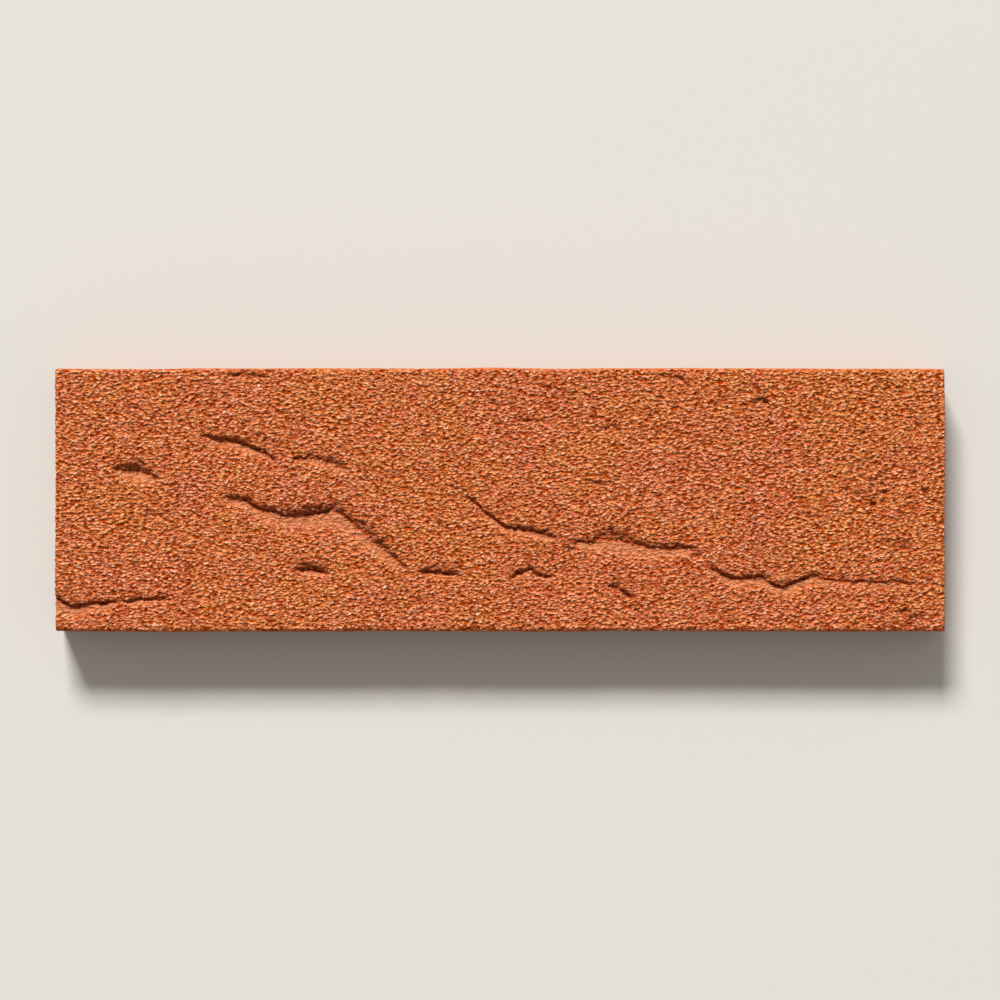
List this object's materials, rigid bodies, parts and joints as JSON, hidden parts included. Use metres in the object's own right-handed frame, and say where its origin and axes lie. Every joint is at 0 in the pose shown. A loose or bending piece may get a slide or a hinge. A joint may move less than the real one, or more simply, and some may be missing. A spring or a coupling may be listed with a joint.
{
  "type": "clinker brick slip",
  "caption": "Thin rectangular clinker brick slip with a creased, grainy terracotta face and dovetail keys along its back, bonded to a wall as facing.",
  "frame": {"origin": "the middle of the bonding back, on the plane of its ribs", "axes": "+X along the slip's length, to the right in the picture; +Y up the wall that it is laid in; +Z out of the back towards the face that shows"},
  "size_m": [0.24, 0.071, 0.014],
  "materials": {
    "fired_clay": "matte"
  },
  "bodies": {
    "root": {"brick_slip": "fired_clay"}
  },
  "joints": []
}
